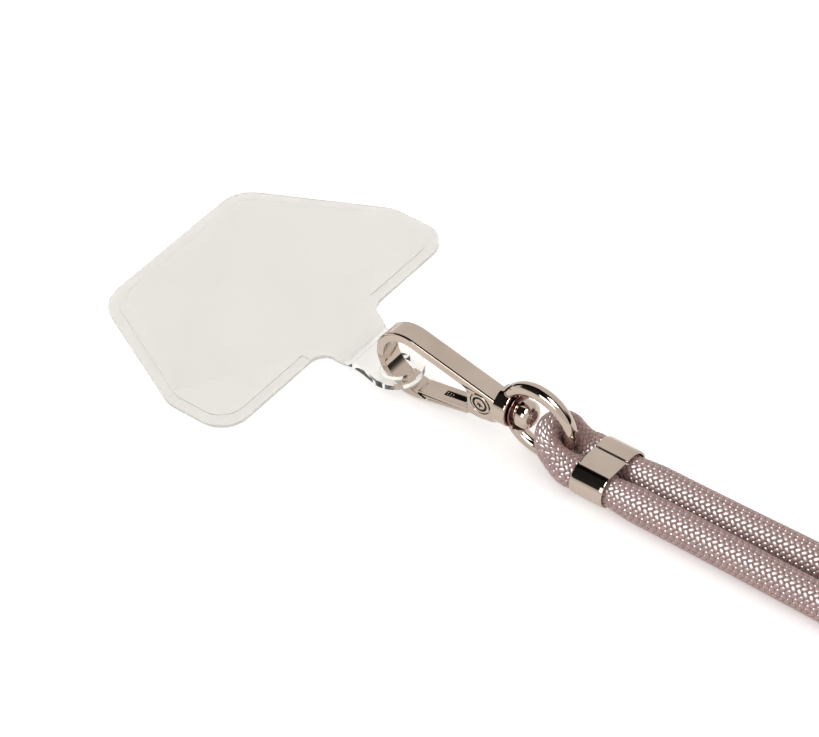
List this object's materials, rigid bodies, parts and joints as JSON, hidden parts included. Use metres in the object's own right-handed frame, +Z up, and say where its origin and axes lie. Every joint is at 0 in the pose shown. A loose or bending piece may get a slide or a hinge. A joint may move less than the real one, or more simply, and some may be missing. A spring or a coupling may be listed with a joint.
{
  "type": "phone crossbody strap",
  "caption": "Crossbody phone strap: clear six-sided tether pad with an eyelet, swivel snap hook with a spring gate, and a braided rope loop held by a metal ferrule.",
  "frame": {"origin": "middle of the tether pad's underside, on the surface that the strap lies on", "axes": "+X along the strap from the pad to the far end of the loop, +Z up, +Y across the pad"},
  "size_m": [0.6876, 0.1151, 0.018],
  "materials": {
    "clear_film": "clear flexible film, slightly milky",
    "hook_metal": "polished warm nickel plating",
    "ferrule_metal": "polished warm nickel plating, pressed sheet",
    "rope": "round braid of dusty mauve satin yarn"
  },
  "bodies": {
    "strap": {"rope_bight": "rope", "rope_left": "rope", "rope_right": "rope", "ferrule": "ferrule_metal", "joining_sleeve": "ferrule_metal", "swivel_ring": "hook_metal"},
    "hook": {"hook_body": "hook_metal", "gate_rivet": "hook_metal", "swivel_post": "hook_metal", "phone_pad": "clear_film"},
    "gate": {"gate_lever": "hook_metal"}
  },
  "joints": [
    {"name": "swivel", "type": "hinge", "parent": "strap", "child": "hook", "pos_m": [0.0759, -0.0035, 0.009], "axis": [1, 0, 0], "continuous": true},
    {"name": "gate_hinge", "type": "hinge", "parent": "hook", "child": "gate", "pos_m": [0.0631, -0.0035, 0.008], "axis": [0, 1, 0], "range_deg": [0, 20], "stiffness_Nm_per_rad": 0.02, "springref_deg": -17.19}
  ]
}
